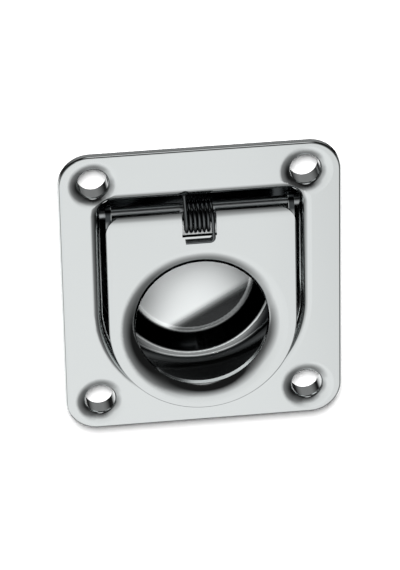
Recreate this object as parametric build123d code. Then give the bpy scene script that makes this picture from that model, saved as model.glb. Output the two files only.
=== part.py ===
from build123d import *
import math
import os

# Recessed pull handle of pressed stainless steel. A drawn pan with a screw flange holds a
# spring-closed flap, which has a dished finger hole and turns on a pin through its two ears.
# Millimetres: X to the right, Z up, and the face toward -Y. The origin is the middle of the
# four screws, on the back of the flange, where the handle bears on its panel.

# Flange of the pan
plate_width = 57.0
plate_height = 61.4
plate_corner_radius = 6.5
plate_edge_round = 0.5
pan_sheet = 1.5

# Recess of the pan: a straight top and sides, closed below by a half circle. Its margins run
# from its walls to the edges of the flange.
recess_side_margin = 8.3
recess_top_margin = 10.5
recess_bottom_margin = 6.0
recess_corner_radius = 2.6
recess_depth = 16.4
rim_radius = 2.3
floor_fillet = 0.6

# Round bowl pressed into the floor of the recess, for the finger tips
bowl_side_margin = 3.9
bowl_bottom_margin = 1.2
bowl_wall_run = 3.5
bowl_depth = 3.9
bowl_round = 1.1

# Screw holes, each drawn back into a short collar with a rounded mouth that seats the screw's head
screw_side_inset = 7.1
screw_end_inset = 6.3
screw_hole_radius = 3.1
screw_mouth_width = 2.5
screw_mouth_radius = 3.75
screw_edge_round = 0.8
collar_depth = 5.0
collar_sheet = 1.0
collar_root_radius = 0.6

# Hinge pin, riveted over outside the side walls
pin_radius = 1.15
pin_below_top_wall = 3.7
pin_depth = 3.3
pin_wall_clearance = 0.03
pin_head_radius = 1.55
pin_head_height = 0.6
pin_head_round = 0.3
pin_head_clearance = 0.05

# Flap
flap_sheet = 1.2
flap_side_gap = 0.95
flap_lap = 0.2
flap_seat_clearance = 0.2
flap_back_round = 0.5
flap_front_round = 0.25
flap_corner_radius = 3.6
flap_top_below_pin = 2.2
flap_top_bend_radius = 5.0
flap_top_bend_angle = 27.0
hole_side_margin = 5.52
hole_centre_drop = 0.8
hole_dish_radius = 5.0
hole_dish_width = 3.8
hole_edge_round = 0.4
hole_lip_depth = 3.2
ear_sheet = 1.2
ear_side_inset = 0.15
ear_radius = 2.2
ear_root_below_pin = 5.5
ear_root_overlap = 0.3
ear_pin_clearance = 0.05

# Torsion spring
wire_radius = 0.375
coil_mean_radius = 3.225
coil_left = -3.0
coil_right = 2.35
coil_full_turns = 6
coil_pin_clearance = 0.08
coil_lean_angle = 151.0
coil_notch_clearance = 0.25
coil_side_clearance = 0.45
flap_leg_drop = 6.05
flap_leg_end = -3.2
leg_bend_radius = 0.8
leg_clearance = 0.05
rim_leg_reach = 0.4
rim_dent_radius = 1.1
rim_dent_depth = 1.0
rim_dent_clearance = 0.1

# How closely an edge has to lie to a plane to be counted as in it
edge_tolerance = 0.01

# Face coordinates: x to the right, y up and z out of the face, from the middle of the face
face = Plane(origin=(0, -pan_sheet, 0), x_dir=(1, 0, 0), z_dir=(0, -1, 0))
side_view = Plane(origin=(0, 0, 0), x_dir=(0, 1, 0), z_dir=(1, 0, 0))

screw_spacing_x = plate_width - 2 * screw_side_inset
screw_spacing_z = plate_height - 2 * screw_end_inset
recess_half_width = plate_width / 2 - recess_side_margin
recess_top = plate_height / 2 - recess_top_margin
recess_bottom = recess_bottom_margin - plate_height / 2
recess_arc_height = recess_bottom + recess_half_width
bowl_rim_radius = recess_half_width - bowl_side_margin
bowl_height = recess_bottom + bowl_bottom_margin + bowl_rim_radius
bowl_floor_radius = bowl_rim_radius - bowl_wall_run
pin_height = recess_top - pin_below_top_wall
pin_bore_radius = pin_radius + ear_pin_clearance
wall_outside = recess_half_width + pan_sheet

# The flap's lower end laps over the rolled rim and bears on the flange, so it leans out a little
flap_half_width = recess_half_width - flap_side_gap
flap_bottom = recess_bottom - rim_radius - flap_lap
flap_lean = math.atan((flap_sheet + flap_seat_clearance) / (pin_height - flap_bottom))
flap_arc_height = flap_bottom + flap_half_width
flap_bend_height = pin_height - flap_top_below_pin
flap_top = flap_bend_height + flap_top_bend_radius * math.sin(math.radians(flap_top_bend_angle))
finger_hole_radius = flap_half_width - hole_side_margin
hole_height = flap_arc_height - hole_centre_drop


def recess_outline(grow):
    """Outline of the recess in the face, moved outward by grow."""
    half_width = recess_half_width + grow
    straight = recess_top + grow - recess_arc_height
    upper = Pos(0, recess_arc_height + straight / 2) * Rectangle(2 * half_width, straight)
    top_corners = upper.vertices().group_by(Axis.Y)[-1]
    upper = fillet(top_corners, recess_corner_radius + grow)
    return upper + Pos(0, recess_arc_height) * Circle(half_width)


def bowl(grow, depth_above):
    """Cone of the bowl, grown sideways, from its rim at depth_above to its floor."""
    cone = Cone(bowl_floor_radius + grow, bowl_rim_radius + grow, bowl_depth)
    return Pos(0, bowl_height, -depth_above - bowl_depth / 2) * cone


def edges_at_depth(solid, depth):
    """Edges that lie wholly at one depth below the face."""
    return solid.edges().filter_by_position(Axis.Z, -depth - edge_tolerance, -depth + edge_tolerance)


def recess_edges(solid, depth, grow):
    """Edges at one depth that follow the outline of the recess, grown by grow."""
    reach = grow + edge_tolerance
    half_width = recess_half_width + reach
    found = edges_at_depth(solid, depth)
    found = found.filter_by_position(Axis.X, -half_width, half_width)
    return found.filter_by_position(Axis.Y, recess_bottom - reach, recess_top + reach)


def make_pan_shell():
    """Flange, walls, floor and bowl as one drawn sheet, before it is pierced."""
    flange = extrude(RectangleRounded(plate_width, plate_height, plate_corner_radius), -pan_sheet)
    flange = fillet(edges_at_depth(flange, 0), plate_edge_round)
    outer_floor = recess_depth + pan_sheet
    bowl_slope = math.atan2(bowl_depth, bowl_rim_radius - bowl_floor_radius)
    bowl_sheet_growth = pan_sheet * math.tan(bowl_slope / 2)

    outside = extrude(recess_outline(pan_sheet), -outer_floor)
    outside = fillet(edges_at_depth(outside, outer_floor), floor_fillet + pan_sheet)
    outside += bowl(bowl_sheet_growth, outer_floor)
    outside = fillet(edges_at_depth(outside, outer_floor + bowl_depth), bowl_round + pan_sheet)

    inside = extrude(recess_outline(0), -recess_depth)
    inside = fillet(edges_at_depth(inside, recess_depth), floor_fillet)
    inside += bowl(0, recess_depth)
    inside = fillet(edges_at_depth(inside, recess_depth), bowl_round)
    inside = fillet(edges_at_depth(inside, recess_depth + bowl_depth), bowl_round)

    shell = flange + outside
    wall_roots = recess_edges(shell, pan_sheet, pan_sheet)
    shell = fillet(wall_roots, rim_radius - pan_sheet)
    shell -= inside
    shell = fillet(recess_edges(shell, 0, 0), rim_radius)
    return shell


def make_collar_tools():
    """Collar drawn out behind one screw hole, and the space inside it, at its own centre."""
    collar_radius = screw_hole_radius + collar_sheet
    root_start = collar_radius + collar_root_radius
    root = CenterArc((root_start, -pan_sheet - collar_root_radius), collar_root_radius, 90, 90)
    outline = Polyline(
        root @ 1,
        (collar_radius, -collar_depth),
        (0, -collar_depth),
        (0, -pan_sheet / 2),
        (root_start, -pan_sheet / 2),
        root @ 0,
    )
    collar = revolve(Plane.XZ.location * make_face([root.edge()] + list(outline.edges())), Axis.Z)

    mouth_start = screw_hole_radius + screw_mouth_width
    mouth_angle = math.degrees(math.asin(screw_mouth_width / screw_mouth_radius))
    mouth = CenterArc((mouth_start, -screw_mouth_radius), screw_mouth_radius, 90, mouth_angle)
    behind = -collar_depth - pan_sheet
    outline = Polyline(
        mouth @ 1,
        (screw_hole_radius, behind),
        (0, behind),
        (0, pan_sheet),
        (mouth_start, pan_sheet),
        mouth @ 0,
    )
    section = make_face([mouth.edge()] + list(outline.edges()))
    section = fillet(section.vertices().sort_by_distance(mouth @ 1)[0], screw_edge_round)
    bore = revolve(Plane.XZ.location * section, Axis.Z)
    return collar, bore


def make_base_pan():
    """Drawn pan with its screw collars, its pin holes and the dent for the spring's short leg."""
    pan = make_pan_shell()
    collar, bore = make_collar_tools()
    centres = GridLocations(screw_spacing_x, screw_spacing_z, 2, 2)
    pan += [centre * collar for centre in centres]
    pan -= [centre * bore for centre in centres]

    pin_axis = Pos(0, pin_height, -pin_depth) * Rot(0, 90, 0)
    pan -= pin_axis * Cylinder(pin_radius + pin_wall_clearance, 2 * (wall_outside + pan_sheet))
    head_space = Cylinder(pin_head_radius + pin_head_clearance, pin_head_height + pin_head_clearance)
    head_offset = wall_outside + (pin_head_height + pin_head_clearance) / 2
    pan -= [pin_axis * Pos(0, 0, side * head_offset) * head_space for side in (-1, 1)]

    dent_end = recess_top + rim_leg_reach + rim_dent_clearance
    dent = Pos(coil_left, dent_end, rim_dent_radius - rim_dent_depth)
    pan -= dent * Sphere(rim_dent_radius)
    pan -= dent * Pos(0, -rim_radius / 2, 0) * Rot(90, 0, 0) * Cylinder(rim_dent_radius, rim_radius)
    return pan


def coil_centre_point():
    """Middle of the coil in the side view, leaning off the pin toward the flap, as (y, z)."""
    lean = coil_mean_radius - wire_radius - pin_radius - coil_pin_clearance
    angle = math.radians(coil_lean_angle)
    return (pin_height + lean * math.cos(angle), -pin_depth + lean * math.sin(angle))


def coil_notch():
    """Slot in the flap's top edge that leaves room for the spring's coil."""
    coil_outside = coil_mean_radius + wire_radius
    left = coil_left - wire_radius - coil_side_clearance
    right = coil_right + wire_radius + coil_side_clearance
    centre_y, centre_z = coil_centre_point()
    coil_reach = math.sqrt(coil_outside**2 - (centre_z + flap_sheet) ** 2)
    bottom = centre_y - coil_reach - coil_notch_clearance
    return Pos((left + right) / 2, bottom + recess_top / 2) * Rectangle(right - left, recess_top)


def make_flap_plate():
    """Flat part of the flap, up to the bend of its top edge, with its outline rounded."""
    straight = flap_bend_height - flap_arc_height
    upright = Pos(0, flap_arc_height + straight / 2) * Rectangle(2 * flap_half_width, straight)
    plate = extrude(upright + Pos(0, flap_arc_height) * Circle(flap_half_width), -flap_sheet)
    plate = fillet(edges_at_depth(plate, 0).sort_by(Axis.Y)[:-1], flap_front_round)
    return fillet(edges_at_depth(plate, flap_sheet).sort_by(Axis.Y)[:-1], flap_back_round)


def make_bent_top():
    """Top edge of the flap, which leans back toward the pin, with its ends rounded."""
    bend_centre = (flap_bend_height, -flap_top_bend_radius)
    back_radius = flap_top_bend_radius - flap_sheet
    front = CenterArc(bend_centre, flap_top_bend_radius, 90, -flap_top_bend_angle)
    back = CenterArc(bend_centre, back_radius, 90, -flap_top_bend_angle)
    section = make_face([front, Line(front @ 1, back @ 1), back, Line(back @ 0, front @ 0)])
    top = extrude(side_view.location * section, flap_half_width, both=True)
    end_arcs = top.edges().filter_by(GeomType.CIRCLE).sort_by(SortBy.LENGTH)
    top = fillet(end_arcs[-2:], flap_front_round)
    end_arcs = top.edges().filter_by(GeomType.CIRCLE).filter_by(Plane.YZ)
    return fillet(end_arcs.sort_by(SortBy.LENGTH)[:2], flap_back_round)


def make_corner_space():
    """Space outside one rounded top corner of the flap, at the right."""
    corner = (flap_half_width - flap_corner_radius, flap_top - flap_corner_radius)
    block = Rectangle(2 * flap_corner_radius, 2 * flap_corner_radius, align=(Align.MIN, Align.MIN))
    outside = Pos(*corner) * (block - Circle(flap_corner_radius))
    return extrude(outside, pin_depth, both=True)


def ear_section():
    """Side view of an ear, from its root on the flap's back to its eye round the pin."""
    pin_place = Pos(pin_height, -pin_depth)
    root_depth = ear_root_overlap - flap_sheet
    root = Line((pin_height - ear_root_below_pin, root_depth), (flap_bend_height, root_depth))
    lug = make_hull((pin_place * Circle(ear_radius)).edges() + root.edges())
    return lug - pin_place * Circle(pin_bore_radius)


def finger_hole_section():
    """Half section of the sheet that is dished round the finger hole."""
    dish_start = finger_hole_radius + hole_dish_width
    centre = (dish_start, -hole_dish_radius)
    back_radius = hole_dish_radius - flap_sheet
    dish_angle = math.degrees(math.asin(hole_dish_width / hole_dish_radius))
    lip_rise = hole_dish_radius - hole_lip_depth
    back_angle = math.degrees(math.acos(lip_rise / back_radius))
    front = CenterArc(centre, hole_dish_radius, 90, dish_angle)
    back = CenterArc(centre, back_radius, 90, back_angle)
    lip_end = (finger_hole_radius, -hole_lip_depth)
    outline = [
        front,
        Line(front @ 1, lip_end),
        Line(lip_end, back @ 1),
        back,
        Line(back @ 0, front @ 0),
    ]
    section = make_face(outline)
    return fillet(section.vertices().sort_by_distance(front @ 1)[0], hole_edge_round)


def make_flap():
    """Pressed flap: its top edge bent back, its finger hole dished, and an ear at each side."""
    flap = make_flap_plate() + make_bent_top()
    corner_space = make_corner_space()
    flap -= [corner_space, mirror(corner_space, Plane.YZ)]

    ear_middle = flap_half_width - ear_side_inset - ear_sheet / 2
    ear = extrude(side_view.location * ear_section(), ear_sheet / 2, both=True)
    flap += [Pos(side * ear_middle, 0, 0) * ear for side in (-1, 1)]

    hole = Pos(0, hole_height)
    dish_space = Circle(finger_hole_radius + hole_dish_width)
    flap -= hole * Pos(0, 0, -flap_sheet) * extrude(dish_space, 2 * flap_sheet)
    flap += hole * revolve(Plane.XZ.location * finger_hole_section(), Axis.Z)
    flap -= Pos(0, 0, -2 * pin_depth) * extrude(coil_notch(), 3 * pin_depth)
    pin_place = Pos(0, pin_height, -pin_depth)
    return pin_place * Rot(-math.degrees(flap_lean), 0, 0) * Pos(0, -pin_height, pin_depth) * flap


def make_hinge_pin():
    """Round pin with its ends riveted over outside the pan."""
    inner_face = wall_outside + pin_head_clearance
    shank = Cylinder(pin_radius, 2 * inner_face)
    head = Cylinder(pin_head_radius, pin_head_height)
    head = fillet(head.edges().group_by(Axis.Z)[-1], pin_head_round)
    head = Pos(0, 0, inner_face + pin_head_height / 2) * head
    pin = shank + head + mirror(head, Plane.XY)
    return Pos(0, pin_height, -pin_depth) * Rot(0, 90, 0) * pin


def make_torsion_spring():
    """Coil on the pin, with one leg across the flap and one in the dent of the rim."""
    centre_y, centre_z = coil_centre_point()

    def leaving_angle(point, turn):
        """Angle on the coil from which a straight leg reaches the point, given as (y, z)."""
        across = point[0] - centre_y
        out = point[1] - centre_z
        reach = math.hypot(across, out)
        return math.atan2(out, across) + turn * math.acos(coil_mean_radius / reach)

    def leg_length(point):
        """Length of that straight leg."""
        reach = math.hypot(point[0] - centre_y, point[1] - centre_z)
        return math.sqrt(reach**2 - coil_mean_radius**2)

    rim_end = (recess_top + rim_leg_reach, wire_radius + leg_clearance - rim_dent_depth)
    leg_front = pin_depth + wire_radius + leg_clearance
    flap_end = (
        pin_height - flap_leg_drop * math.cos(flap_lean) + leg_front * math.sin(flap_lean),
        -pin_depth + flap_leg_drop * math.sin(flap_lean) + leg_front * math.cos(flap_lean),
    )
    start_angle = leaving_angle(rim_end, 1)
    end_angle = leaving_angle(flap_end, -1)
    turns = coil_full_turns + (end_angle - start_angle) / (2 * math.pi)
    length = coil_right - coil_left
    helix_frame = Plane(
        origin=(coil_left, centre_y, centre_z),
        x_dir=(0, math.cos(start_angle), math.sin(start_angle)),
        z_dir=(1, 0, 0),
    )
    helix = helix_frame.location * Helix(length / turns, length, coil_mean_radius)
    rim_tip = (helix @ 0) - (helix % 0) * leg_length(rim_end)
    knee = (helix @ 1) + (helix % 1) * leg_length(flap_end)
    flap_tip = Vector(flap_leg_end, knee.Y, knee.Z)
    flap_leg = FilletPolyline(helix @ 1, knee, flap_tip, radius=leg_bend_radius)
    path = Wire([Edge.make_line(rim_tip, helix @ 0), helix.edge()] + list(flap_leg.edges()))
    section = Plane(origin=path @ 0, z_dir=path % 0) * Circle(wire_radius)
    return sweep(section, path=path)


nodes = {
    "base_pan": make_base_pan(),
    "pull_flap": make_flap(),
    "hinge_pin": make_hinge_pin(),
    "torsion_spring": make_torsion_spring(),
}
os.makedirs("parts", exist_ok=True)
for name, solid in nodes.items():
    export_step(face.location * solid, f"parts/{name}.step")
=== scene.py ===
import math

import bmesh
import bpy
from mathutils import Matrix, Vector


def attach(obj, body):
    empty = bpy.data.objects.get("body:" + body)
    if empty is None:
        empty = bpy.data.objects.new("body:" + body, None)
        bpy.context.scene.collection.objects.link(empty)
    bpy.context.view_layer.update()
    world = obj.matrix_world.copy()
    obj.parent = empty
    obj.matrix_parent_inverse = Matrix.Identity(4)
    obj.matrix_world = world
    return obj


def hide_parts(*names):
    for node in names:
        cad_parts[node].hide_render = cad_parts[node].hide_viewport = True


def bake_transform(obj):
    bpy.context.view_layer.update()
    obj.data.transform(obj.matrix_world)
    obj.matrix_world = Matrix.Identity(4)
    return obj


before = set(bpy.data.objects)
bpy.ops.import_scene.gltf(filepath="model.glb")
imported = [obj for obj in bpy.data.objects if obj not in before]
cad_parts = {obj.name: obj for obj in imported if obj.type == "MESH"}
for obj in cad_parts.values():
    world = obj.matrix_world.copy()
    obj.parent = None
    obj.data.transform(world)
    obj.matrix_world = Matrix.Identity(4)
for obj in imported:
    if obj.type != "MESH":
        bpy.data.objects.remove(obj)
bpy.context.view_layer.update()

# Base pan. One sheet of stainless steel, drawn into a recess with a rolled rim and a bowl in its
# floor and four screw holes drawn back into collars, then polished. The drawn inner walls and the
# floor away from the finger hole carry painted shade, and a dark painted reflection lies on the
# bowl's lower right. The floor and bowl under the finger hole are pale satin, partly a satin finish
# and partly a painted pool of light.
pan_sheet = 0.0015
face_height = -pan_sheet
recess_half_width, recess_top, recess_bottom = 0.0202, 0.0202, -0.0247
recess_arc_height = recess_bottom + recess_half_width
recess_corner_radius = 0.0026
rim_radius = 0.0023
rim_end, wall_start = 0.0020, 0.0040
floor_place = face_height + 0.0164
bowl_place = floor_place + 0.0039
finger_hole_height = -0.0105
bowl_height = -0.0124


def make_polish_group():
    """Mirror polish on sheet or rod: a faint haze changes the roughness and the colour."""
    group = bpy.data.node_groups.new("mirror_polish", "ShaderNodeTree")
    face = group.interface
    face.new_socket("Steel Color", in_out="INPUT", socket_type="NodeSocketColor")
    for name, value in (
        ("Roughness", 0.08),
        ("Haze Amount", 0.05),
        ("Haze Scale", 90.0),
        ("Tint Amount", 0.04),
    ):
        socket = face.new_socket(name, in_out="INPUT", socket_type="NodeSocketFloat")
        socket.default_value = value
    face.new_socket("Base Color", in_out="OUTPUT", socket_type="NodeSocketColor")
    face.new_socket("Roughness", in_out="OUTPUT", socket_type="NodeSocketFloat")
    nodes, links = group.nodes, group.links
    start, end = nodes.new("NodeGroupInput"), nodes.new("NodeGroupOutput")
    place = nodes.new("ShaderNodeTexCoord")
    haze = nodes.new("ShaderNodeTexNoise")
    haze.inputs["Detail"].default_value = 3.0
    links.new(place.outputs["Object"], haze.inputs["Vector"])
    links.new(start.outputs["Haze Scale"], haze.inputs["Scale"])
    spread = nodes.new("ShaderNodeMath")
    spread.operation = "MULTIPLY_ADD"
    links.new(haze.outputs["Fac"], spread.inputs[0])
    links.new(start.outputs["Haze Amount"], spread.inputs[1])
    links.new(start.outputs["Roughness"], spread.inputs[2])
    links.new(spread.outputs[0], end.inputs["Roughness"])
    shade = nodes.new("ShaderNodeMath")
    shade.operation = "MULTIPLY"
    links.new(haze.outputs["Fac"], shade.inputs[0])
    links.new(start.outputs["Tint Amount"], shade.inputs[1])
    tint = nodes.new("ShaderNodeMix")
    tint.data_type = "RGBA"
    links.new(shade.outputs[0], tint.inputs["Factor"])
    links.new(start.outputs["Steel Color"], tint.inputs["A"])
    tint.inputs["B"].default_value = (0.43, 0.475, 0.475, 1)
    links.new(tint.outputs["Result"], end.inputs["Base Color"])
    return group


polish_group = make_polish_group()
# Near-black steel colour used as painted shade in the recess and on the flap's ears.
painted_shade_steel = (0.040, 0.044, 0.046, 1)


def make_steel(name, color, roughness, haze):
    """Polished stainless steel of one colour and smoothness."""
    material = bpy.data.materials.new(name)
    material.use_nodes = True
    nodes, links = material.node_tree.nodes, material.node_tree.links
    shader = nodes["Principled BSDF"]
    shader.inputs["Metallic"].default_value = 1.0
    polish = nodes.new("ShaderNodeGroup")
    polish.name = "Polish"
    polish.node_tree = polish_group
    polish.inputs["Steel Color"].default_value = (*color, 1)
    polish.inputs["Roughness"].default_value = roughness
    polish.inputs["Haze Amount"].default_value = haze
    links.new(polish.outputs["Base Color"], shader.inputs["Base Color"])
    links.new(polish.outputs["Roughness"], shader.inputs["Roughness"])
    return material


def make_drawn_group():
    """Painted shade on the drawn walls and on the floor away from the finger hole, a dark painted
    reflection in the bowl, and pale satin steel under the finger hole, partly a satin finish and partly
    a painted pool of light.
    """
    group = bpy.data.node_groups.new("drawn_recess", "ShaderNodeTree")
    face = group.interface
    for kind, names in (
        ("NodeSocketColor", ("Polished", "Satin", "Painted Shade")),
        ("NodeSocketFloat", ("Roughness", "Satin Roughness", "Satin Metal Loss", "Inner Face")),
        ("NodeSocketFloat", ("Rim End", "Wall Start", "Floor Place", "Bowl Place")),
        ("NodeSocketFloat", ("Lit Radius", "Lit Fade", "Shade Start", "Shade Fade", "Shade Amount")),
        ("NodeSocketVector", ("Lit Centre", "Bowl Centre", "Shade Direction")),
    ):
        for name in names:
            face.new_socket(name, in_out="INPUT", socket_type=kind)
    face.new_socket("Base Color", in_out="OUTPUT", socket_type="NodeSocketColor")
    face.new_socket("Roughness", in_out="OUTPUT", socket_type="NodeSocketFloat")
    face.new_socket("Metallic", in_out="OUTPUT", socket_type="NodeSocketFloat")
    nodes, links = group.nodes, group.links
    start, end = nodes.new("NodeGroupInput").outputs, nodes.new("NodeGroupOutput").inputs

    def feed(node, *values):
        for socket, value in zip(node.inputs, values):
            if isinstance(value, bpy.types.NodeSocket):
                links.new(value, socket)
            else:
                socket.default_value = value
        return node.outputs

    def calculate(operation, *values):
        step = nodes.new("ShaderNodeMath")
        step.operation = operation
        return feed(step, *values)[0]

    def product(first, *others):
        for other in others:
            first = calculate("MULTIPLY", first, other)
        return first

    def less(value, taken):
        return calculate("SUBTRACT", value, taken)

    def rise(value, first, last):
        step = nodes.new("ShaderNodeMapRange")
        step.interpolation_type = "SMOOTHSTEP"
        return feed(step, value, first, last)["Result"]

    def vectors(operation, *values):
        step = nodes.new("ShaderNodeVectorMath")
        step.operation = operation
        return feed(step, *values)

    def away_from(centre):
        offset = vectors("SUBTRACT", place, start[centre])["Vector"]
        return vectors("MULTIPLY", offset, (1, 0, 1))["Vector"]

    def mixed(factor, first, second):
        step = nodes.new("ShaderNodeMix")
        step.data_type = "RGBA"
        links.new(factor, step.inputs["Factor"])
        links.new(first, step.inputs["A"])
        links.new(second, step.inputs["B"])
        return step.outputs["Result"]

    floor_edge_start, floor_edge_end = 0.0001, 0.0003
    bowl_edge_start, bowl_edge_end = 0.0002, 0.0008
    floor_fillet, floor_share = 0.0006, 0.3
    place = nodes.new("ShaderNodeTexCoord").outputs["Object"]
    depth = feed(nodes.new("ShaderNodeSeparateXYZ"), place)["Y"]
    floor, bowl = start["Floor Place"], start["Bowl Place"]
    on_wall = rise(depth, start["Rim End"], start["Wall Start"])
    off_floor = rise(calculate("ABSOLUTE", less(depth, floor)), floor_edge_start, floor_edge_end)
    off_bowl = rise(less(bowl, depth), bowl_edge_start, bowl_edge_end)
    from_hole = vectors("LENGTH", away_from("Lit Centre"))["Value"]
    unlit = rise(from_hole, less(start["Lit Radius"], start["Lit Fade"]), start["Lit Radius"])
    across = vectors("DOT_PRODUCT", away_from("Bowl Centre"), start["Shade Direction"])["Value"]
    shade_end = calculate("ADD", start["Shade Start"], start["Shade Fade"])
    in_bowl = rise(depth, less(bowl, bowl_edge_end), bowl)
    shade = product(rise(across, start["Shade Start"], shade_end), in_bowl, start["Shade Amount"])
    # Painted shade: the walls, the floor outside the circle lit through the finger hole, and a painted
    # dark reflection on the bowl's lower right.
    painted_shade = calculate("MAXIMUM", product(off_floor, off_bowl), unlit)
    painted_shade = product(calculate("MAXIMUM", painted_shade, shade), on_wall, start["Inner Face"])
    past_walls = rise(depth, less(floor, floor_fillet), floor)
    # Pale satin where the painted shade leaves off, partly a satin finish and partly a painted pool of
    # light under the finger hole.
    satin_share = calculate("MULTIPLY_ADD", in_bowl, 1 - floor_share, floor_share)
    satin = product(past_walls, less(1.0, painted_shade), satin_share, start["Inner Face"])
    pale = mixed(satin, start["Polished"], start["Satin"])
    links.new(mixed(painted_shade, pale, start["Painted Shade"]), end["Base Color"])
    links.new(less(1.0, product(satin, start["Satin Metal Loss"])), end["Metallic"])
    rough = product(satin, start["Satin Roughness"])
    links.new(calculate("ADD", rough, start["Roughness"]), end["Roughness"])
    return group


def make_pan_steel():
    """Polished sheet whose recess carries painted shade on its drawn walls and pale satin at its bottom,
    partly a painted pool of light.
    """
    material = make_steel("polished_sheet", (0.562, 0.583, 0.583), 0.07, 0.05)
    nodes, links = material.node_tree.nodes, material.node_tree.links
    recess = nodes.new("ShaderNodeGroup")
    recess.node_tree = make_drawn_group()
    # The near-black colour is painted shade, the pale satin colour is partly a painted pool of light,
    # and the shade values place a painted dark reflection in the bowl.
    for name, value in (
        ("Satin", (0.92, 0.95, 0.95, 1)),
        ("Painted Shade", painted_shade_steel),
        ("Satin Roughness", 0.25),
        ("Satin Metal Loss", 0.65),
        ("Rim End", rim_end),
        ("Wall Start", wall_start),
        ("Floor Place", floor_place),
        ("Bowl Place", bowl_place),
        ("Lit Radius", 0.0165),
        ("Lit Fade", 0.0025),
        ("Shade Start", 0.0025),
        ("Shade Fade", 0.0030),
        ("Shade Amount", 0.8),
        ("Lit Centre", (0, 0, finger_hole_height)),
        ("Bowl Centre", (0, 0, bowl_height)),
        ("Shade Direction", (0.5, 0, -0.87)),
    ):
        recess.inputs[name].default_value = value
    inner_mark = nodes.new("ShaderNodeAttribute")
    inner_mark.attribute_name = "inner_face"
    links.new(inner_mark.outputs["Fac"], recess.inputs["Inner Face"])
    links.new(nodes["Polish"].outputs["Base Color"], recess.inputs["Polished"])
    links.new(nodes["Polish"].outputs["Roughness"], recess.inputs["Roughness"])
    for name in ("Base Color", "Roughness", "Metallic"):
        links.new(recess.outputs[name], nodes["Principled BSDF"].inputs[name])
    return material


def number_flats(faces):
    """Number of the flat that each facet belongs to, and the area of each flat."""
    flat_of, flat_area = [-1] * len(faces), []
    same_flat = math.cos(math.radians(0.3))
    for seed in faces:
        if flat_of[seed.index] >= 0:
            continue
        flat_of[seed.index] = len(flat_area)
        area, waiting = 0.0, [seed]
        while waiting:
            facet = waiting.pop()
            area += facet.calc_area()
            for edge in facet.edges:
                for other in edge.link_faces:
                    if flat_of[other.index] < 0 and other.normal.dot(seed.normal) > same_flat:
                        flat_of[other.index] = len(flat_area)
                        waiting.append(other)
        flat_area.append(area)
    return flat_of, flat_area


def make_smooth_copy(node, name, material):
    """Copy of a solid with its facets joined, and each corner's normal led by the widest flat there."""
    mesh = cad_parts[node].data.copy()
    mesh.name = name
    mesh.materials.clear()
    mesh.materials.append(material)
    work = bmesh.new()
    work.from_mesh(mesh)
    bmesh.ops.remove_doubles(work, verts=work.verts, dist=1e-6)
    work.normal_update()
    work.faces.ensure_lookup_table()
    flat_of, flat_area = number_flats(work.faces)
    same_surface = math.cos(math.radians(34))
    area_scale, area_power = 1e9, 1.5
    normals = []
    for facet in work.faces:
        for corner in facet.loops:
            near = {}
            for other in corner.vert.link_faces:
                if facet.normal.dot(other.normal) > same_surface:
                    near[flat_of[other.index]] = other.normal
            total = Vector()
            for flat, normal in near.items():
                total += normal * flat_area[flat] ** area_power * area_scale
            normals.append(total.normalized() if total.length > 0 else facet.normal.copy())
        facet.smooth = True
    work.to_mesh(mesh)
    work.free()
    mesh.normals_split_custom_set(normals)
    copy = bpy.data.objects.new(name, mesh)
    bpy.context.scene.collection.objects.link(copy)
    return copy


def mark_inner_faces(mesh):
    """Mark the facets that line the recess, but not those on the outside of the pan."""
    within_walls, faces_back = 0.0007, 0.2
    mark = mesh.attributes.new("inner_face", "FLOAT", "FACE")
    for facet in mesh.polygons:
        below_arc = min(facet.center.z - recess_arc_height, 0.0)
        in_width = math.hypot(facet.center.x, below_arc) < recess_half_width + within_walls
        in_height = facet.center.z < recess_top + within_walls
        mark.data[facet.index].value = float(in_width and in_height and facet.normal.y < faces_back)


pan = make_smooth_copy("base_pan", "drawn_pan", make_pan_steel())
mark_inner_faces(pan.data)
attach(pan, "pan")
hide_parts("base_pan")

# Hinge pin. A length of drawn stainless rod, put through both side walls of the pan and the two
# eyes of the flap, and riveted over outside.
# The rod's colour is darker than the sheet's: painted shade for its place in the recess.
shaded_pin_steel = make_steel("pin_rod", (0.30, 0.315, 0.32), 0.24, 0.10)
pin = make_smooth_copy("hinge_pin", "hinge_rod", shaded_pin_steel)
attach(pin, "pan")
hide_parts("hinge_pin")

# Flap. One pressed sheet with a dished finger hole, and an ear at each side that turns on the
# pin. Its round end lies on the flange. The ears carry painted shade, and the rest is polished.
ear_inner_face, ear_front_edge, ear_edge_fade = 0.0178, -0.0008, 0.0003


def make_flap_steel():
    """Polished sheet with painted shade on its ears."""
    material = make_steel("flap_sheet", (0.562, 0.583, 0.583), 0.06, 0.04)
    nodes, links = material.node_tree.nodes, material.node_tree.links
    place = nodes.new("ShaderNodeTexCoord")
    apart = nodes.new("ShaderNodeSeparateXYZ")
    links.new(place.outputs["Object"], apart.inputs[0])
    width = nodes.new("ShaderNodeMath")
    width.operation = "ABSOLUTE"
    links.new(apart.outputs["X"], width.inputs[0])
    ear = nodes.new("ShaderNodeMath")
    ear.operation = "MULTIPLY"
    sides = ((width.outputs[0], ear_inner_face), (apart.outputs["Y"], ear_front_edge))
    for socket, (source, edge) in zip(ear.inputs, sides):
        ramp = nodes.new("ShaderNodeMapRange")
        links.new(source, ramp.inputs["Value"])
        ramp.inputs["From Min"].default_value = edge
        ramp.inputs["From Max"].default_value = edge + ear_edge_fade
        links.new(ramp.outputs["Result"], socket)
    # Painted shade on the ears, which sit in the recess's shade.
    ear_shade = nodes.new("ShaderNodeMix")
    ear_shade.data_type = "RGBA"
    links.new(ear.outputs[0], ear_shade.inputs["Factor"])
    links.new(nodes["Polish"].outputs["Base Color"], ear_shade.inputs["A"])
    ear_shade.inputs["B"].default_value = painted_shade_steel
    links.new(ear_shade.outputs["Result"], nodes["Principled BSDF"].inputs["Base Color"])
    return material


flap = make_smooth_copy("pull_flap", "pressed_flap", make_flap_steel())
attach(flap, "flap")
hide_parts("pull_flap")

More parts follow.
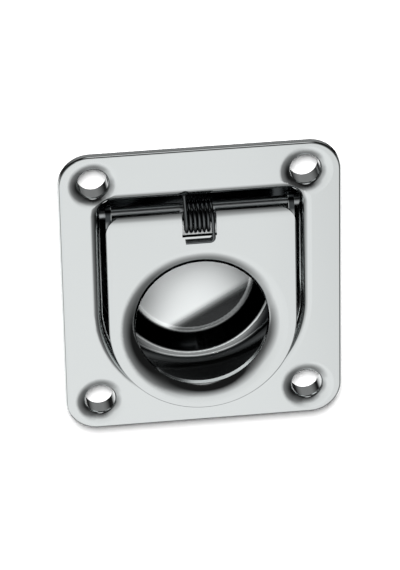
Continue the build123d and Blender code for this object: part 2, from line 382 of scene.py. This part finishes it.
# Torsion spring. One length of bright spring wire, wound round the pin in the flap's slot, with a
# short leg in a dent of the rim and a long leg bent across the front of the flap. Its places are
# given in the side view, as a height and a distance out of the face.
wire_radius = 0.000375
coil_radius = 0.003225
coil_left, coil_right = -0.0030, 0.00235
full_turns = 6
leg_clearance = 0.00005
pin_height, pin_depth, pin_radius = recess_top - 0.0037, 0.0033, 0.00115
coil_lean = coil_radius - wire_radius - pin_radius - 0.00008
coil_lean_angle = math.radians(151)
coil_centre = (
    pin_height + coil_lean * math.cos(coil_lean_angle),
    -pin_depth + coil_lean * math.sin(coil_lean_angle),
)
rim_leg_end = (recess_top + 0.0004, wire_radius + leg_clearance - 0.0010)
flap_rise, flap_lap = 0.0014, 0.0002
flap_lean = math.atan(flap_rise / (pin_height - recess_bottom + rim_radius + flap_lap))
leg_drop, leg_front = 0.00605, pin_depth + wire_radius + leg_clearance
flap_leg_knee = (
    pin_height - leg_drop * math.cos(flap_lean) + leg_front * math.sin(flap_lean),
    -pin_depth + leg_drop * math.sin(flap_lean) + leg_front * math.cos(flap_lean),
)
flap_leg_tip = -0.0032
knee_radius = 0.0008


def in_row(x, up, out):
    """Place in the row frame of a point given from the middle of the plate's face."""
    return Vector((x, face_height - out, up))


def leaving_angle(end, side):
    """Angle on the coil from which a straight leg reaches its end, and the leg's length."""
    across, out = end[0] - coil_centre[0], end[1] - coil_centre[1]
    reach = math.hypot(across, out)
    angle = math.atan2(out, across) + side * math.acos(coil_radius / reach)
    return angle, math.sqrt(reach**2 - coil_radius**2)


start_angle, rim_leg_length = leaving_angle(rim_leg_end, 1)
end_angle, flap_leg_length = leaving_angle(flap_leg_knee, -1)
sweep_angle = 2 * math.pi * full_turns + end_angle - start_angle
rise = (coil_right - coil_left) / sweep_angle


def coil_point(turned):
    """Place on the coil's middle line after turning by an angle from its start."""
    angle = start_angle + turned
    return in_row(
        coil_left + rise * turned,
        coil_centre[0] + coil_radius * math.cos(angle),
        coil_centre[1] + coil_radius * math.sin(angle),
    )


def coil_direction(turned):
    """Direction of the coil's wire there."""
    angle = start_angle + turned
    upward, outward = -coil_radius * math.sin(angle), coil_radius * math.cos(angle)
    return Vector((rise, -outward, upward)).normalized()


coil_steps, knee_steps, leg_overlap = 300, 12, 6
coil_path = [coil_point(sweep_angle * i / coil_steps) for i in range(coil_steps + 1)]
coil_path.insert(0, coil_path[0] - coil_direction(0) * rim_leg_length)
knee = coil_path[-1] + coil_direction(sweep_angle) * flap_leg_length
tip = Vector((flap_leg_tip, knee.y, knee.z))
into_knee, out_of_knee = (knee - coil_path[-1]).normalized(), (tip - knee).normalized()
half_turn = into_knee.angle(out_of_knee) / 2
knee_start = knee - into_knee * knee_radius * math.tan(half_turn)
toward_centre = (out_of_knee - into_knee * into_knee.dot(out_of_knee)).normalized()
bend_centre = knee_start + toward_centre * knee_radius
bend_axis = into_knee.cross(out_of_knee).normalized()
leg_path = coil_path[-1 - leg_overlap :]
for step in range(knee_steps + 1):
    swing = Matrix.Rotation(2 * half_turn * step / knee_steps, 3, bend_axis)
    leg_path.append(bend_centre + swing @ (knee_start - bend_centre))
leg_path.append(tip)


def make_wire_tree():
    """Round wire along a path, with closed ends."""
    tree = bpy.data.node_groups.new("wound_wire", "GeometryNodeTree")
    face = tree.interface
    face.new_socket("Path", in_out="INPUT", socket_type="NodeSocketGeometry")
    face.new_socket("Wire Radius", in_out="INPUT", socket_type="NodeSocketFloat")
    face.new_socket("Sides", in_out="INPUT", socket_type="NodeSocketInt")
    face.new_socket("Steel", in_out="INPUT", socket_type="NodeSocketMaterial")
    face.new_socket("Wire", in_out="OUTPUT", socket_type="NodeSocketGeometry")
    nodes, links = tree.nodes, tree.links
    start, end = nodes.new("NodeGroupInput"), nodes.new("NodeGroupOutput")
    path = nodes.new("GeometryNodeMeshToCurve")
    section = nodes.new("GeometryNodeCurvePrimitiveCircle")
    sweep = nodes.new("GeometryNodeCurveToMesh")
    smooth = nodes.new("GeometryNodeSetShadeSmooth")
    real = nodes.new("GeometryNodeRealizeInstances")
    paint = nodes.new("GeometryNodeSetMaterial")
    links.new(start.outputs["Path"], path.inputs["Mesh"])
    links.new(start.outputs["Wire Radius"], section.inputs["Radius"])
    links.new(start.outputs["Sides"], section.inputs["Resolution"])
    links.new(path.outputs["Curve"], sweep.inputs["Curve"])
    links.new(section.outputs["Curve"], sweep.inputs["Profile Curve"])
    sweep.inputs["Fill Caps"].default_value = True
    links.new(sweep.outputs["Mesh"], smooth.inputs["Geometry"])
    links.new(smooth.outputs["Geometry"], real.inputs["Geometry"])
    links.new(real.outputs["Geometry"], paint.inputs["Geometry"])
    links.new(start.outputs["Steel"], paint.inputs["Material"])
    links.new(paint.outputs["Geometry"], end.inputs["Wire"])
    return tree


wire_tree = make_wire_tree()
# The wire's colour is near black: painted shade for its place in the recess.
shaded_wire_steel = make_steel("spring_wire", (0.10, 0.107, 0.11), 0.14, 0.08)
wire_sides = 20


def make_wire(name, points, radius):
    """Piece of the spring's wire along its points."""
    mesh = bpy.data.meshes.new(name)
    mesh.from_pydata(points, [(i, i + 1) for i in range(len(points) - 1)], [])
    path = bpy.data.objects.new(name + "_path", mesh)
    bpy.context.scene.collection.objects.link(path)
    modifier = path.modifiers.new("wire", "NODES")
    modifier.node_group = wire_tree
    sockets = {s.name: s.identifier for s in wire_tree.interface.items_tree if s.in_out == "INPUT"}
    modifier[sockets["Wire Radius"]] = radius
    modifier[sockets["Sides"]] = wire_sides
    modifier[sockets["Steel"]] = shaded_wire_steel
    depsgraph = bpy.context.evaluated_depsgraph_get()
    made = bpy.data.meshes.new_from_object(path.evaluated_get(depsgraph))
    bpy.data.objects.remove(path)
    sharpest_round = math.radians(50)
    work = bmesh.new()
    work.from_mesh(made)
    bmesh.ops.recalc_face_normals(work, faces=work.faces)
    for edge in work.edges:
        edge.smooth = edge.calc_face_angle(0) < sharpest_round
    work.to_mesh(made)
    work.free()
    made.name = name
    wire = bpy.data.objects.new(name, made)
    bpy.context.scene.collection.objects.link(wire)
    return wire


# The leg begins inside the coil's last turn, so it is drawn a hair thinner there.
turned_part, leg_thinness = 0.58, 0.985
coil = make_wire("spring_coil", coil_path, wire_radius)
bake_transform(coil)
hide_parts("torsion_spring")
flap_leg = make_wire("spring_flap_leg", leg_path, wire_radius * leg_thinness)
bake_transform(flap_leg)
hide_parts("torsion_spring")

# Pale panel that the handle is let into, close behind the screw collars, with a cut-out along the
# outside of the recess. It carries the soft shadow, and is clear from behind.
panel_place = 0.0042
panel_reach = 60.0
cut_clearance = 0.0003
cut_grow = pan_sheet + cut_clearance
cut_half_width, cut_top = recess_half_width + cut_grow, recess_top + cut_grow
cut_corner_radius = recess_corner_radius + cut_grow
arc_steps, corner_steps = 32, 8
cut_outline = []


def add_cut_arc(centre_x, centre_z, radius, first_angle, angle, steps):
    """Add a round stretch to the cut-out's outline."""
    for step in range(steps + 1):
        turned = first_angle + angle * step / steps
        cut_outline.append((centre_x + radius * math.cos(turned), centre_z + radius * math.sin(turned)))


corner_x, corner_z = cut_half_width - cut_corner_radius, cut_top - cut_corner_radius
add_cut_arc(0, recess_arc_height, cut_half_width, math.pi, math.pi, arc_steps)
add_cut_arc(corner_x, corner_z, cut_corner_radius, 0, math.pi / 2, corner_steps)
add_cut_arc(-corner_x, corner_z, cut_corner_radius, math.pi / 2, math.pi / 2, corner_steps)
count = len(cut_outline)
panel_mesh = bpy.data.meshes.new("pale_board")
panel_mesh.from_pydata(
    [(x * panel_reach, panel_place, z * panel_reach) for x, z in cut_outline]
    + [(x, panel_place, z) for x, z in cut_outline],
    [],
    [(i, (i + 1) % count, count + (i + 1) % count, count + i) for i in range(count)],
)
panel = bpy.data.objects.new("pale_board", panel_mesh)
bpy.context.scene.collection.objects.link(panel)
panel_paint = bpy.data.materials.new("board_paint")
panel_paint.use_nodes = True
nodes, links = panel_paint.node_tree.nodes, panel_paint.node_tree.links
matte = nodes["Principled BSDF"]
matte.inputs["Base Color"].default_value = (0.97, 0.97, 0.97, 1)
matte.inputs["Roughness"].default_value = 1.0
matte.inputs["Specular IOR Level"].default_value = 0.0
clear = nodes.new("ShaderNodeBsdfTransparent")
side = nodes.new("ShaderNodeNewGeometry")
choose = nodes.new("ShaderNodeMixShader")
links.new(side.outputs["Backfacing"], choose.inputs["Fac"])
links.new(matte.outputs["BSDF"], choose.inputs[1])
links.new(clear.outputs["BSDF"], choose.inputs[2])
links.new(choose.outputs["Shader"], nodes["Material Output"].inputs["Surface"])
panel_mesh.materials.append(panel_paint)
panel.visible_glossy = False

# Studio tent, which only the polished steel shows: a wide pale window low in front that fades
# toward its edges, a lamp overhead and pale patches at the sides and behind, with dark cloth
# between them.
tent_mesh = bpy.data.meshes.new("studio_tent")
work = bmesh.new()
bmesh.ops.create_uvsphere(work, u_segments=48, v_segments=24, radius=0.5)
bmesh.ops.reverse_faces(work, faces=work.faces)
for tent_face in work.faces:
    tent_face.smooth = True
work.to_mesh(tent_mesh)
work.free()
tent = bpy.data.objects.new("studio_tent", tent_mesh)
bpy.context.scene.collection.objects.link(tent)
tent_cloth = bpy.data.materials.new("tent_cloth")
tent_cloth.use_nodes = True
nodes, links = tent_cloth.node_tree.nodes, tent_cloth.node_tree.links
nodes.remove(nodes["Principled BSDF"])
place = nodes.new("ShaderNodeTexCoord")
toward = nodes.new("ShaderNodeVectorMath")
toward.operation = "NORMALIZE"
links.new(place.outputs["Object"], toward.inputs[0])


def tent_patch(direction, first, last, level_at_first, level_at_last):
    """Brightness of the tent that changes from one level to another toward a direction."""
    facing = nodes.new("ShaderNodeVectorMath")
    facing.operation = "DOT_PRODUCT"
    links.new(toward.outputs["Vector"], facing.inputs[0])
    facing.inputs[1].default_value = Vector(direction).normalized()
    patch = nodes.new("ShaderNodeMapRange")
    links.new(facing.outputs["Value"], patch.inputs["Value"])
    patch.inputs["From Min"].default_value = first
    patch.inputs["From Max"].default_value = last
    patch.inputs["To Min"].default_value = level_at_first
    patch.inputs["To Max"].default_value = level_at_last
    return patch.outputs["Result"]


def put_together(operation, levels):
    """Several brightnesses put together, one after the other."""
    total = levels[0]
    for level in levels[1:]:
        step = nodes.new("ShaderNodeMath")
        step.operation = operation
        links.new(total, step.inputs[0])
        links.new(level, step.inputs[1])
        total = step.outputs[0]
    return total


rightward, leftward, upward, downward, backward = (1, 0, 0), (-1, 0, 0), (0, 0, 1), (0, 0, -1), (0, 1, 0)
window = put_together(
    "MULTIPLY",
    [
        tent_patch(rightward, 0.145, 0.46, 1.25, 0.44),
        tent_patch(rightward, 0.30, 0.85, 1.0, 0.0),
        tent_patch(leftward, 0.45, 0.92, 1.0, 0.12),
        tent_patch(upward, 0.02, 0.56, 1.0, 0.0),
        tent_patch(upward, -0.50, 0.50, 1.0, 0.78),
        tent_patch(downward, 0.66, 1.0, 1.0, 0.20),
        tent_patch(backward, -0.05, 0.30, 1.0, 0.0),
    ],
)
overhead = tent_patch((0.1, -0.15, 1), 0.93, 0.99, 0.0, 1.1)
low_back = tent_patch((-0.1, 0.88, -0.46), 0.88, 0.98, 0.0, 1.1)
high_back = tent_patch((0.1, 0.88, 0.46), 0.75, 0.95, 0.0, 0.3)
left_side = tent_patch((-0.85, 0.30, -0.45), 0.86, 0.95, 0.0, 1.7)
right_side = tent_patch((0.80, 0.42, -0.45), 0.86, 0.95, 0.0, 1.9)
brightest = put_together("MAXIMUM", [window, overhead, low_back, high_back, left_side, right_side])
cloth_level = nodes.new("ShaderNodeMath")
cloth_level.operation = "ADD"
links.new(brightest, cloth_level.inputs[0])
cloth_level.inputs[1].default_value = 0.016
glow = nodes.new("ShaderNodeEmission")
links.new(cloth_level.outputs[0], glow.inputs["Strength"])
links.new(glow.outputs["Emission"], nodes["Material Output"].inputs["Surface"])
tent_mesh.materials.append(tent_cloth)
tent.visible_camera = False
tent.visible_diffuse = False
tent.visible_transmission = False
tent.visible_volume_scatter = False
tent.visible_shadow = False

# Lamp: one broad soft box a little above the camera, for the panel's shadow. The steel shows the
# tent in its place.
lamp_place = Vector((-0.130, -0.890, 0.720))
soft_box = bpy.data.lights.new("soft_box", "AREA")
soft_box.shape = "SQUARE"
soft_box.size = 0.50
soft_box.energy = 29
lamp = bpy.data.objects.new("soft_box", soft_box)
lamp.location = lamp_place
lamp.rotation_euler = (-lamp_place).to_track_quat("-Z", "Y").to_euler()
lamp.visible_glossy = False
bpy.context.scene.collection.objects.link(lamp)

# Room: even dim light on matte surfaces, and plain white behind everything.
dim_level, white_level = 0.18, 1.0
room = bpy.data.worlds.new("room")
bpy.context.scene.world = room
room.use_nodes = True
nodes, links = room.node_tree.nodes, room.node_tree.links
even = nodes["Background"]
even.inputs["Color"].default_value = (1, 1, 1, 1)
rays = nodes.new("ShaderNodeLightPath")
shows_white = put_together(
    "MAXIMUM",
    [rays.outputs[name] for name in ("Is Camera Ray", "Is Glossy Ray", "Is Transmission Ray")],
)
level = nodes.new("ShaderNodeMapRange")
links.new(shows_white, level.inputs["Value"])
level.inputs["To Min"].default_value = dim_level
level.inputs["To Max"].default_value = white_level
links.new(level.outputs["Result"], even.inputs["Strength"])

# Camera, above the handle and a little to its left, looking at the middle of the face.
camera_height = math.radians(27.145)
camera_turn = math.radians(-6.704)
camera_roll = math.radians(1.165)
camera_distance = 0.76242
toward_camera = Vector(
    (
        math.sin(camera_turn) * math.cos(camera_height),
        -math.cos(camera_turn) * math.cos(camera_height),
        math.sin(camera_height),
    )
)
level_right = Vector((0, 0, 1)).cross(toward_camera).normalized()
level_up = toward_camera.cross(level_right)
right = level_right * math.cos(camera_roll) - level_up * math.sin(camera_roll)
up = level_right * math.sin(camera_roll) + level_up * math.cos(camera_roll)
camera_place = Vector((0, face_height, 0)) + toward_camera * camera_distance
lens = bpy.data.cameras.new("camera")
lens.sensor_width = 36
lens.lens = 237.88
lens.shift_x = -0.0040
lens.shift_y = 0.0038
camera = bpy.data.objects.new("camera", lens)
turn = Matrix((right, up, toward_camera)).transposed().to_4x4()
camera.matrix_world = Matrix.Translation(camera_place) @ turn
bpy.context.scene.collection.objects.link(camera)
bpy.context.scene.camera = camera
bpy.context.scene.view_settings.view_transform = "Standard"
